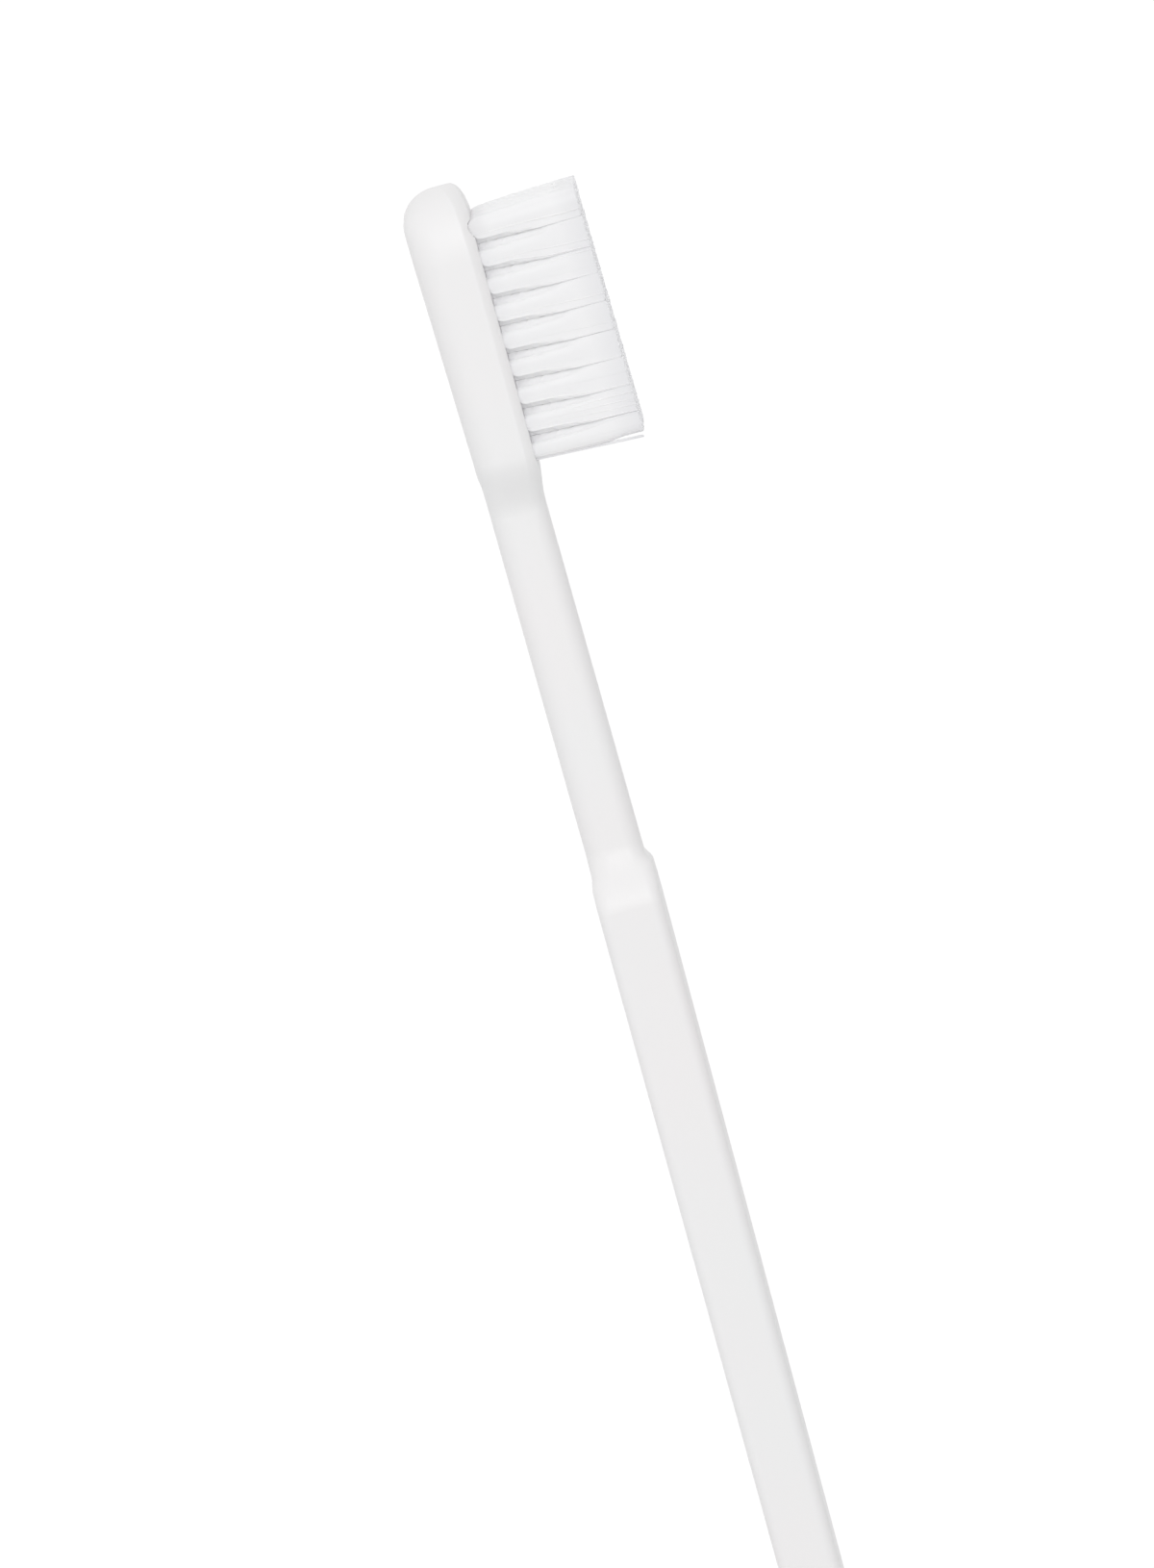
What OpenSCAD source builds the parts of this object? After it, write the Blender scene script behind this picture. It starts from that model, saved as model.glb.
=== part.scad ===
// Manual toothbrush: a one-piece moulded body and flat-trimmed nylon tufts held by metal plates.
// X runs along the brush from the head to the handle, Y across it, Z from its back to the bristles.
// The origin is the middle of the handle's flat back. Sizes are in millimetres.

/* [Brush] */
// Length from the tip of the head to the end of the handle
brush_length = 184; // [165:1:200]

/* [Head] */
// Length from the tip to the middle of the heel, where the head narrows into the neck
head_length = 26.65; // [24:0.05:30]
// Width across the head
head_width = 10.8; // [9.5:0.1:12.5]
// Height of the bristle face above the plane of the handle's back
face_height = 5.28; // [4.8:0.02:6]
// How far the back of the head lies below the plane of the handle's back, near the tip
tip_drop = 0.61; // [0.3:0.01:0.8]
// The same at the heel
heel_drop = 0.12; // [0:0.01:0.2]
// Radius of the head's edges on the back
head_back_radius = 2; // [1:0.1:2.4]
// Radius of the head's edges round the bristle face
head_face_radius = 1; // [0.5:0.1:1.4]

/* [Tip] */
// Length of the round outline at the tip, seen from above
tip_length = 6.3; // [5:0.1:8]
// Length of the rounding between the tip and the back
tip_back_length = 3.1; // [2:0.1:4.5]
// Height of that rounding
tip_back_height = 3.3; // [2:0.1:3.8]
// Length of the rounding between the tip and the bristle face
tip_face_length = 3.3; // [1:0.1:3.6]
// Height of that rounding
tip_face_height = 1.1; // [0.6:0.05:1.6]

/* [Neck] */
// Length over which the head narrows into the neck
heel_length = 5.4; // [4.5:0.1:9]
// Length over which the bristle face drops to the neck
heel_step_length = 3; // [2:0.1:5]
// How far the middle of that drop lies behind the middle of the heel
heel_step_lag = 0.55; // [0:0.05:1]
// Length over which the head's back rises to the neck
heel_back_length = 1.65; // [1:0.05:3]
// How far the middle of that rise lies before the middle of the heel
heel_back_lead = 1; // [0:0.05:2]
// Width across the neck
neck_width = 5.6; // [4.6:0.1:7]
// Thickness of the neck
neck_thickness = 4.98; // [4.2:0.01:5.4]
// Height of the neck's back above the plane of the handle's back, at the shoulder
neck_rise = 0.21; // [0:0.01:0.5]
// Radius of the neck's edges on the back
neck_back_radius = 2; // [0.8:0.1:2.2]
// Radius of the neck's edges on the front
neck_face_radius = 1.55; // [0.8:0.05:2]

/* [Shoulder] */
// Distance from the tip to the middle of the widening between neck and handle
shoulder_place = 62.1; // [54:0.1:70]
// Length over which the neck widens into the handle
shoulder_length = 5.4; // [4.5:0.1:9]
// Length of the step in thickness, on the front and on the back
step_length = 1.35; // [0.8:0.05:2.5]
// How far the middle of the front's step lies before the middle of the widening
face_step_lead = 0.9; // [0:0.05:1.2]
// How far the middle of the back's step lies behind the middle of the widening
back_step_lag = 0.05; // [0:0.05:1]

/* [Handle] */
// Width of the handle at the shoulder
handle_width = 10.4; // [8:0.1:13]
// Width of the handle at its end
handle_end_width = 8.6; // [7:0.1:12]
// Thickness of the handle at the shoulder
handle_thickness = 5.68; // [5.4:0.02:7]
// Thickness of the handle at its end
handle_end_thickness = 4.88; // [4:0.02:7]
// Radius of the handle's long edges
handle_edge_radius = 1; // [0.3:0.05:1.2]
// Length of the round outline at the handle's end, seen from above
end_length = 4.3; // [3:0.1:8]
// Radius between the handle's end and its two faces
end_edge_radius = 1.2; // [0.5:0.1:2]

/* [Tufts] */
// Distance from the tip to the middle of the first row of tufts
first_row = 4.08; // [3.5:0.01:6]
// Distance from the middle of the last row of tufts to the middle of the heel, at least
last_row_margin = 2.6; // [2:0.1:4]
// Distance from the middle of an outer tuft to the side of the head, at least
side_margin = 1.75; // [1.5:0.05:2.5]
// Distance between rows along the head
row_pitch = 2.48; // [2.3:0.02:3]
// Distance between columns across the head
column_pitch = 2.4; // [2.3:0.05:2.8]
// Length of the bristles above the face in the first row
first_bristle_length = 9.46; // [7:0.01:12]
// Length of the bristles above the face in the last row
last_bristle_length = 9.7; // [7:0.01:12]
// How far the tips of a tuft lean towards the handle
tip_lean = 0.15; // [0:0.05:0.4]
// Gap between the tips of neighbouring tufts
tip_gap = 0.12; // [0.06:0.02:0.3]
// Diameter of one strand of bristle
strand_diameter = 0.4; // [0.3:0.02:0.42]

/* [Tuft holes] */
// Diameter of a tuft hole
hole_diameter = 1.8; // [1.6:0.05:2]
// Depth of a tuft hole
hole_depth = 3.6; // [3:0.1:4]

/* [Anchor plates] */
// Thickness of a plate
plate_thickness = 0.25; // [0.2:0.01:0.35]
// Height of a plate
plate_height = 1.5; // [1:0.1:1.8]
// How far each end of a plate bites into the wall of its hole
plate_bite = 0.25; // [0.15:0.01:0.3]
// Height of the folded bristles below a plate
fold_height = 0.5; // [0.3:0.05:0.8]

/* [Hidden] */
// Running clearance between a tuft and its hole
tuft_clearance = 0.05;
// Clearance round an anchor plate
plate_clearance = 0.03;
// How far the bound root of a tuft stays below the bristle face
root_recess = 0.1;
// How far a strand reaches into the bound root
strand_overlap = 0.6;
// Overrun of cuts past the surface that they open
overrun = 0.5;
// Turn of a plate from the line across the head, in degrees, with its outer end towards the heel
plate_turn = 35;
// Strands in the inner and the outer ring of a tuft, and the radius of each ring
ring_counts = [3, 9];
ring_radius_shares = [0.42, 1];
// Turn of the inner ring, in degrees
inner_ring_turn = 20;
strand_sides = 3;
// Largest part of a half width or half thickness that an edge radius may take
edge_limit_share = 0.96;
// Segments in each rounded corner of a cross-section
corner_steps = 6;
tip_steps = 10;
heel_steps = 14;
lead_steps = 3;
step_steps = 10;
trail_steps = 3;
end_steps = 7;

// Distances along the brush, counted from its tip
heel_start = head_length - heel_length / 2;
heel_end = head_length + heel_length / 2;
face_drop_start = head_length + heel_step_lag - heel_step_length / 2;
face_drop_end = face_drop_start + heel_step_length;
heel_back_start = head_length - heel_back_lead - heel_back_length / 2;
heel_back_end = heel_back_start + heel_back_length;
shoulder_start = shoulder_place - shoulder_length / 2;
shoulder_end = shoulder_place + shoulder_length / 2;
face_step_start = shoulder_place - face_step_lead - step_length / 2;
back_step_start = shoulder_place + back_step_lag - step_length / 2;
back_step_end = back_step_start + step_length;
handle_length = brush_length - shoulder_end;
origin_place = shoulder_end + handle_length / 2;

// The pattern of tufts
tuft_rows = floor((head_length - first_row - last_row_margin) / row_pitch) + 1;
tuft_columns = floor((head_width - 2 * side_margin) / column_pitch) + 1;
COLUMN_LETTERS = "abcdefgh";
hole_radius = hole_diameter / 2;
hole_floor = face_height - hole_depth;
root_radius = hole_radius - tuft_clearance;
root_bottom = hole_floor + tuft_clearance;
root_top = face_height - root_recess;
strand_radius = strand_diameter / 2;
// Room between a strand at the root and the side of the bound root
strand_inset = 0.02;
root_ring_radius = root_radius - strand_radius - strand_inset;
tip_ring_radius = (min(row_pitch, column_pitch) - tip_gap) / 2 - strand_radius;
plate_length = hole_diameter + 2 * plate_bite;
plate_bottom = root_bottom + fold_height;

PLASTIC = "whitesmoke";
NYLON = "ghostwhite";
METAL = "goldenrod";

function row_place(row) = first_row + row * row_pitch - origin_place;
function column_place(column) = (column - (tuft_columns - 1) / 2) * column_pitch;
function tuft_name(row, column) = str("tuft_", row + 1, COLUMN_LETTERS[column]);
function plates_name(row) = str("anchor_plates_row_", row + 1);
function between(start, end, share) = start + (end - start) * share;
function limited(share) = min(max(share, 0), 1);
function eased(share) = limited(share) * limited(share) * (3 - 2 * limited(share));
function ramp(place, start, end) = eased((place - start) / (end - start));
// Height of a quarter ellipse of the given length, as a share, at a distance from its end
function round_share(distance, length) =
    distance >= length ? 1 : sqrt(1 - pow((length - distance) / length, 2));

// The outline from above: half the width at a distance from the tip
function plain_width(place) =
    place < heel_end ? between(head_width, neck_width, ramp(place, heel_start, heel_end)) :
    place < shoulder_end ? between(neck_width, handle_width, ramp(place, shoulder_start, shoulder_end)) :
    between(handle_width, handle_end_width, (place - shoulder_end) / handle_length);
function half_width(place) =
    plain_width(place) / 2 * round_share(place, tip_length) * round_share(brush_length - place, end_length);

// The outline from the side: the heights of the back and the front
function head_back(place) =
    -between(tip_drop, heel_drop, limited((place - tip_back_length) / (heel_start - tip_back_length)));
function neck_back(place) = neck_rise * limited((place - heel_end) / (shoulder_start - heel_end));
function plain_back(place) =
    place < heel_end ? between(head_back(place), neck_back(place), ramp(place, heel_back_start, heel_back_end)) :
    between(neck_back(place), 0, ramp(place, back_step_start, back_step_end));
function handle_front(place) =
    between(handle_thickness, handle_end_thickness, (place - shoulder_end) / handle_length);
function plain_front(place) =
    place < heel_end ?
        between(face_height, neck_back(place) + neck_thickness, ramp(place, face_drop_start, face_drop_end)) :
    between(
        neck_back(place) + neck_thickness,
        handle_front(place),
        ramp(place, face_step_start, face_step_start + step_length)
    );
function end_cut(place) = end_edge_radius * (1 - round_share(brush_length - place, end_edge_radius));
function back_z(place) =
    plain_back(place) + tip_back_height * (1 - round_share(place, tip_back_length)) + end_cut(place);
function front_z(place) =
    plain_front(place) - tip_face_height * (1 - round_share(place, tip_face_length)) - end_cut(place);

// Edge radii along the brush, limited by the section that they round
function edge_radius(place, head, neck) =
    place < heel_end ? between(head, neck, ramp(place, heel_start, heel_end)) :
    between(neck, handle_edge_radius, ramp(place, shoulder_start, shoulder_end));
function edge_limit(place) =
    edge_limit_share * min(half_width(place), (front_z(place) - back_z(place)) / 2);
function back_radius(place) = min(edge_radius(place, head_back_radius, neck_back_radius), edge_limit(place));
function face_radius(place) = min(edge_radius(place, head_face_radius, neck_face_radius), edge_limit(place));

// One cross-section: a rectangle whose four corners are arcs
function corner(place, side, level, radius, start_angle) =
    [for (step = [0:corner_steps])
        let (angle = start_angle + 90 * step / corner_steps)
        [place - origin_place, side + radius * cos(angle), level + radius * sin(angle)]];
function section(place) =
    let (
        half = half_width(place),
        back = back_radius(place),
        face = face_radius(place),
        low = back_z(place) + back,
        high = front_z(place) - face
    )
    concat(
        corner(place, half - face, high, face, 0),
        corner(place, face - half, high, face, 90),
        corner(place, back - half, low, back, 180),
        corner(place, half - back, low, back, 270)
    );

stations = concat(
    [for (step = [0:tip_steps]) tip_length * (1 - cos(90 * max(step, 0.5) / tip_steps))],
    [for (step = [0:heel_steps]) between(heel_start, heel_end, step / heel_steps)],
    [for (step = [0:lead_steps - 1]) between(shoulder_start, face_step_start, step / lead_steps)],
    [for (step = [0:step_steps]) between(face_step_start, back_step_end, step / step_steps)],
    [for (step = [1:trail_steps]) between(back_step_end, shoulder_end, step / trail_steps)],
    [for (step = [0:end_steps])
        brush_length - end_length * (1 - cos(90 * max(end_steps - step, 0.5) / end_steps))]
);

// The moulding: the cross-sections skinned from the tip to the end
module moulding() {
    count = 4 * (corner_steps + 1);
    last = len(stations) - 1;
    walls = [
        for (ring = [0:last - 1])
            for (point = [0:count - 1])
                let (
                    here = ring * count + point,
                    beside = ring * count + (point + 1) % count
                )
                each [[here, here + count, beside + count], [here, beside + count, beside]]
    ];
    front_cap = [for (point = [0:count - 1]) point];
    end_cap = [for (point = [0:count - 1]) last * count + count - 1 - point];
    polyhedron(
        points = [for (place = stations) each section(place)],
        faces = concat([front_cap], walls, [end_cap]),
        convexity = 6
    );
}

module at_tuft(row, column) {
    translate([row_place(row), column_place(column), 0])
        children();
}

module tuft_hole() {
    translate([0, 0, hole_floor])
        cylinder(h = hole_depth + overrun, r = hole_radius, $fn = 48);
}

// An anchor plate, or with a clearance the pocket that holds it
module plate(column, clearance) {
    rotate(column_place(column) > 0 ? -plate_turn : plate_turn)
        translate([-plate_thickness / 2 - clearance, -plate_length / 2 - clearance, plate_bottom - clearance])
            cube([
                plate_thickness + 2 * clearance,
                plate_length + 2 * clearance,
                plate_height + 2 * clearance
            ]);
}

// One strand: a slim prism that leans outward from the bound root to the trimmed tips
module strand(ring_share, angle, tip_z) {
    base_z = root_top - strand_overlap;
    directions = [for (side = [0:strand_sides - 1]) angle + 360 * side / strand_sides];
    ends = [
        [0, root_ring_radius * ring_share, base_z],
        [tip_lean, tip_ring_radius * ring_share, tip_z]
    ];
    polyhedron(
        points = [
            for (end = ends)
                for (direction = directions)
                    [
                        end[0] + end[1] * cos(angle) + strand_radius * cos(direction),
                        end[1] * sin(angle) + strand_radius * sin(direction),
                        end[2]
                    ]
        ],
        faces = [
            [0, 1, 2], [3, 5, 4],
            [0, 3, 4], [0, 4, 1],
            [1, 4, 5], [1, 5, 2],
            [2, 5, 3], [2, 3, 0]
        ]
    );
}

module brush_body() {
    color(PLASTIC)
        difference() {
            moulding();
            for (row = [0:tuft_rows - 1])
                for (column = [0:tuft_columns - 1])
                    at_tuft(row, column) {
                        tuft_hole();
                        plate(column, plate_clearance);
                    }
        }
}

// One tuft: the bristles bound together in their hole, folded under the plate, and free above the face
module tuft(row, column) {
    share = row / max(tuft_rows - 1, 1);
    tip_z = face_height + between(first_bristle_length, last_bristle_length, share);
    color(NYLON)
        at_tuft(row, column) {
            difference() {
                translate([0, 0, root_bottom])
                    cylinder(h = root_top - root_bottom, r = root_radius, $fn = 48);
                plate(column, plate_clearance);
            }
            for (ring = [0:len(ring_counts) - 1])
                for (index = [0:ring_counts[ring] - 1])
                    strand(
                        ring_radius_shares[ring],
                        360 * index / ring_counts[ring] + (ring == 0 ? inner_ring_turn : 0),
                        tip_z
                    );
        }
}

// The anchor plates of one row, one in each tuft hole
module anchor_plates(row) {
    color(METAL)
        for (column = [0:tuft_columns - 1])
            at_tuft(row, column)
                plate(column, 0);
}

brush_body();
for (row = [0:tuft_rows - 1])
    for (column = [0:tuft_columns - 1])
        tuft(row, column);
for (row = [0:tuft_rows - 1])
    anchor_plates(row);
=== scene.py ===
"""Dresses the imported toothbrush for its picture: moulded body, folded nylon filaments and brass plates.

Every length is in metres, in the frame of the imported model: X from the head to the end of the handle,
Y across the brush, Z from its back to the bristle tips. Distances along the brush are counted from the
tip of the head.
"""

import math
import random

import bmesh
import bpy
import numpy as np
from mathutils import Matrix, Vector


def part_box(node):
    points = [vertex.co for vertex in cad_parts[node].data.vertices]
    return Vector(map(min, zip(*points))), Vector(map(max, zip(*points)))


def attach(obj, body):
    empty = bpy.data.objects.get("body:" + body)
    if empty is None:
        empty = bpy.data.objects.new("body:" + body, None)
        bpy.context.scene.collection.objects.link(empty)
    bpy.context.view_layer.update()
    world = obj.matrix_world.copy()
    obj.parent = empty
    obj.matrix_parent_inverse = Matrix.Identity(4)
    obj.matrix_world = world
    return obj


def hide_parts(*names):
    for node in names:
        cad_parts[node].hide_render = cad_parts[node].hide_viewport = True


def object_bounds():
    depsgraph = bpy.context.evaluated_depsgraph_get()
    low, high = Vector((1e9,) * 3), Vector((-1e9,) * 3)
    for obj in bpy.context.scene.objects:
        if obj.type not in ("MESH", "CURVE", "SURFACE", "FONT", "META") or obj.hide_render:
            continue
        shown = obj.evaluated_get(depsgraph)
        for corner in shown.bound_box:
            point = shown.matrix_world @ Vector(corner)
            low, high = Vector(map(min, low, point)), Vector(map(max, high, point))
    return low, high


bl_info = {
    "name": "Toothbrush",
    "version": (1, 0, 0),
    "blender": (4, 5, 0),
    "location": "3D View > Sidebar > Toothbrush",
    "description": "Builds a moulded toothbrush with folded filaments round its packed frame",
    "category": "Object",
}

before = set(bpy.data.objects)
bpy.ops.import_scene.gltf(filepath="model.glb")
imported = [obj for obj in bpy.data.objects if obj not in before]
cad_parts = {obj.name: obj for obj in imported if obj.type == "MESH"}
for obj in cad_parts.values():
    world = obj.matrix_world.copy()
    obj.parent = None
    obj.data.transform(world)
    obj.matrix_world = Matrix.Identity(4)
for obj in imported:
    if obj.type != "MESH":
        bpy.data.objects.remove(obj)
CAD_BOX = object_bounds()
BODY_LOW, BODY_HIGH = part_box("brush_body")

MM = 0.001
# Least divisor in a share
LEAST = 1e-6
ROWS = 9
COLUMNS = "abcd"
# Height of the picture, in pixels
IMAGE_HEIGHT = 1630


def number(name, description, value, **more):
    """A property for a plain number."""
    return bpy.props.FloatProperty(name=name, description=description, default=value, **more)


def length(name, description, millimetres):
    """A length property whose default is given in millimetres."""
    return number(name, description, millimetres * MM, precision=5, unit="LENGTH", subtype="DISTANCE")


def rotation(name, description, degrees):
    """An angle property whose default is given in degrees."""
    return number(name, description, math.radians(degrees), unit="ROTATION", subtype="ANGLE")


def colour(name, description, value):
    """A linear colour property."""
    return bpy.props.FloatVectorProperty(
        name=name, description=description, default=value, size=3, min=0, max=1, subtype="COLOR"
    )


class ToothbrushBodySizes(bpy.types.PropertyGroup):
    """Sizes of the moulded body."""

    brush_length: length("Brush length", "From the tip of the head to the end of the handle", 184)
    head_length: length("Head length", "From the tip to the middle of the heel", 26.65)
    head_width: length("Head width", "Width across the head", 10.8)
    face_height: length("Face height", "Height of the bristle face above the handle's back", 5.28)
    tip_drop: length("Tip drop", "How far the head's back lies below the handle's back, near the tip", 0.61)
    heel_drop: length("Heel drop", "The same at the heel", 0.12)
    head_back_radius: length("Head back radius", "Radius of the head's edges on the back", 2.5)
    head_bevel: length("Head bevel", "Height and width of the head's soft bevel round the bristle face", 0.8)
    tip_bevel_width: length("Tip bevel width", "Width of the same bevel at the tip", 1.25)
    tip_bevel_height: length("Tip bevel height", "Height of the bevel at the tip", 1)
    tip_bevel_start: length("Tip bevel start", "From the tip to where the bevel starts to shrink", 2)
    tip_bevel_end: length("Tip bevel end", "From the tip to where it is as on the head", 7)
    tip_length: length("Tip length", "Length of the round outline at the tip, from above", 6.3)
    tip_back_length: length("Tip back length", "Length of the rounding between tip and back", 3.1)
    tip_back_height: length("Tip back height", "Height of the rounding between tip and back", 3.3)
    tip_face_length: length("Tip face length", "Length of the slope between tip and face", 3.3)
    tip_face_height: length("Tip face height", "Height of the slope between tip and face", 1.1)
    heel_length: length("Heel length", "Length over which the head narrows into the neck", 5.4)
    heel_step_length: length("Heel step length", "Length over which the face drops to the neck", 3)
    heel_step_lag: length("Heel step lag", "How far that drop lies behind the heel", 0.55)
    heel_back_length: length("Heel back length", "Length over which the head's back rises to the neck", 1.65)
    heel_back_lead: length("Heel back lead", "How far that rise lies before the heel", 1)
    neck_width: length("Neck width", "Width across the neck", 5.6)
    neck_thickness: length("Neck thickness", "Thickness of the neck", 4.98)
    neck_rise: length("Neck rise", "Height of the neck's back at the shoulder", 0.21)
    neck_back_radius: length("Neck back radius", "Radius of the neck's edges on the back", 2)
    neck_face_radius: length("Neck face radius", "Radius of the neck's edges on the front", 1.55)
    shoulder_place: length("Shoulder place", "From the tip to the middle of the shoulder", 62.1)
    shoulder_length: length("Shoulder length", "Length over which the neck widens", 5.4)
    step_length: length("Step length", "Length of the step in thickness", 1.35)
    face_step_lead: length("Front step lead", "How far the front's step lies before the shoulder", 0.9)
    back_step_lag: length("Back step lag", "How far the back's step lies behind the shoulder", 0.05)
    handle_width: length("Handle width", "Width of the handle at the shoulder", 10.4)
    handle_end_width: length("Handle end width", "Width of the handle at its end", 8.6)
    handle_thickness: length("Handle thickness", "Thickness of the handle at the shoulder", 5.68)
    handle_end_thickness: length("Handle end thickness", "Thickness of the handle at its end", 4.88)
    handle_edge_radius: length("Handle edge radius", "Radius of the handle's long edges", 1)
    end_length: length("End length", "Length of the round outline at the handle's end", 4.3)
    end_edge_radius: length("End edge radius", "Radius between the handle's end and its faces", 1.2)
    hole_diameter: length("Hole diameter", "Diameter of a tuft hole", 1.8)
    hole_depth: length("Hole depth", "Depth of a tuft hole", 3.6)
    hole_chamfer: length("Hole chamfer", "Width of the worn rim of a tuft hole", 0.05)


class ToothbrushBristleSizes(bpy.types.PropertyGroup):
    """Sizes of the tufts."""

    first_row: length("First row", "From the tip to the middle of the first row of tufts", 4.08)
    row_pitch: length("Row pitch", "Distance between rows along the head", 2.48)
    column_pitch: length("Column pitch", "Distance between columns across the head", 2.4)
    first_length: length("First length", "Length of the bristles above the face in the first row", 9.46)
    last_length: length("Last length", "Length of the bristles above the face in the last row", 9.7)
    filament_diameter: length("Filament diameter", "Diameter of one nylon filament", 0.15)
    folded_filaments: bpy.props.IntProperty(
        name="Folded filaments", description="Filaments in a tuft, folded once", default=48, min=12, max=60
    )
    tip_scatter: length("Tip scatter", "How far the tip of a filament strays sideways", 0.04)
    trim_scatter: length("Trim scatter", "How unevenly the tips are trimmed", 0.1)
    plate_thickness: length("Plate thickness", "Thickness of the anchor plates", 0.25)
    plate_height: length("Plate height", "Height of the anchor plates", 1.5)
    plate_turn: rotation("Plate turn", "Turn of a plate from the line across the head", 35)
    seed: bpy.props.IntProperty(name="Seed", description="Seed of the bristles' scatter", default=7)


class ToothbrushFinish(bpy.types.PropertyGroup):
    """Colours of the materials."""

    plastic: colour("Plastic", "Main colour of the moulded body", (0.9, 0.9, 0.902))
    plastic_warm: colour("Warm plastic", "The warmer tone that clouds the body", (0.91, 0.895, 0.898))
    nylon: colour("Nylon", "Main colour of the filaments", (0.922, 0.92, 0.93))
    nylon_pale: colour("Pale nylon", "Tone of the palest filaments", (0.942, 0.942, 0.942))
    # Colour of the painted shade at the tips and the roots of the filaments
    nylon_painted_shade: colour("Nylon tips", "Tone of the rounded tips of the filaments", (0.86, 0.86, 0.875))
    # Colour of the painted shade on the first tuft's foot
    nylon_foot_shade: colour("Nylon foot", "Tone of the first tuft's foot", (0.865, 0.86, 0.868))
    brass: colour("Brass", "Main colour of the anchor plates", (0.78, 0.6, 0.3))
    brass_dull: colour("Dull brass", "Tone of the drawn marks on the plates", (0.55, 0.4, 0.18))


class ToothbrushStudio(bpy.types.PropertyGroup):
    """The stage: light levels and the camera."""

    sky_level: number("Sky level", "Brightness of the light from all round", 0.9, min=0)
    sky_fall: number("Sky fall", "Share of the sky's light that is missing overhead", 0.45, min=0, max=1)
    key_level: number("Key level", "Brightness that the main lamp adds to a white surface", 0.48, min=0)
    key_distance: length("Key distance", "Distance of the main lamp", 1200)
    key_size: length("Key size", "Width of the main lamp", 800)
    camera_distance: length("Camera distance", "Distance of the camera", 2870)
    camera_azimuth: rotation("Camera azimuth", "Turn of the camera towards the handle", -7.64)
    camera_elevation: rotation("Camera elevation", "Height of the camera above the horizon", 2.083)
    brush_tilt: rotation("Brush tilt", "Lean of the brush in the picture, with its head up", 15.118)
    pixels_per_mm: number("Pixels per millimetre", "Scale of the picture at the brush", 11.98, min=1)
    view_place: length("View place", "Distance from the tip of the point that the camera is set by", 60)
    view_height: length("View height", "Height of that point", 2.7)
    view_along: length("View along", "From that point to the picture's middle, along the brush", -6.37)
    view_up: length("View up", "From that point to the picture's middle, towards the bristles", -1.65)
    sensor: length("Sensor", "Width of the camera's sensor", 36)


class ToothbrushSettings(bpy.types.PropertyGroup):
    """Everything that a user may change."""

    body: bpy.props.PointerProperty(type=ToothbrushBodySizes)
    bristles: bpy.props.PointerProperty(type=ToothbrushBristleSizes)
    finish: bpy.props.PointerProperty(type=ToothbrushFinish)
    studio: bpy.props.PointerProperty(type=ToothbrushStudio)


# Shape of the body

CORNER_STEPS = 14
# Largest part of a half width or half thickness that an edge radius may take
EDGE_LIMIT_SHARE = 0.96
# How flat the head's bevel is, where 1 is a plain round
BEVEL_POWER = 1.6
# How far the guard points on a flat stand from its ends, as a share of its width
FLAT_GUARD_SHARE = 0.06
# Cross-sections on each stretch of the body, with the first and the last one this share of a step inside
FIRST_STEP = 0.25
TIP_STEPS = 44
END_STEPS = 28
SHOULDER_STEPS = 72
HEEL_STEPS = 40
HEAD_STEPS = 40
NECK_STEPS = 28
HANDLE_STEPS = 50


def between(start, end, share):
    return start + (end - start) * share


def limited(value, low=0.0, high=1.0):
    return min(max(value, low), high)


def eased(share):
    part = limited(share)
    return part * part * (3 - 2 * part)


def ramp(place, start, end):
    return eased((place - start) / (end - start))


def circle(count):
    """Evenly turned directions, each as its cosine and sine."""
    turns = [2 * math.pi * index / count for index in range(count)]
    return [(math.cos(turn), math.sin(turn)) for turn in turns]


def round_share(distance, size):
    """Height of a quarter ellipse, as a share, at a distance from its end."""
    if distance >= size:
        return 1.0
    return math.sqrt(max(0.0, 1 - ((size - distance) / size) ** 2))


def span(middle, size):
    """The start and the end of a stretch round its middle."""
    return middle - size / 2, middle + size / 2


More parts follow.
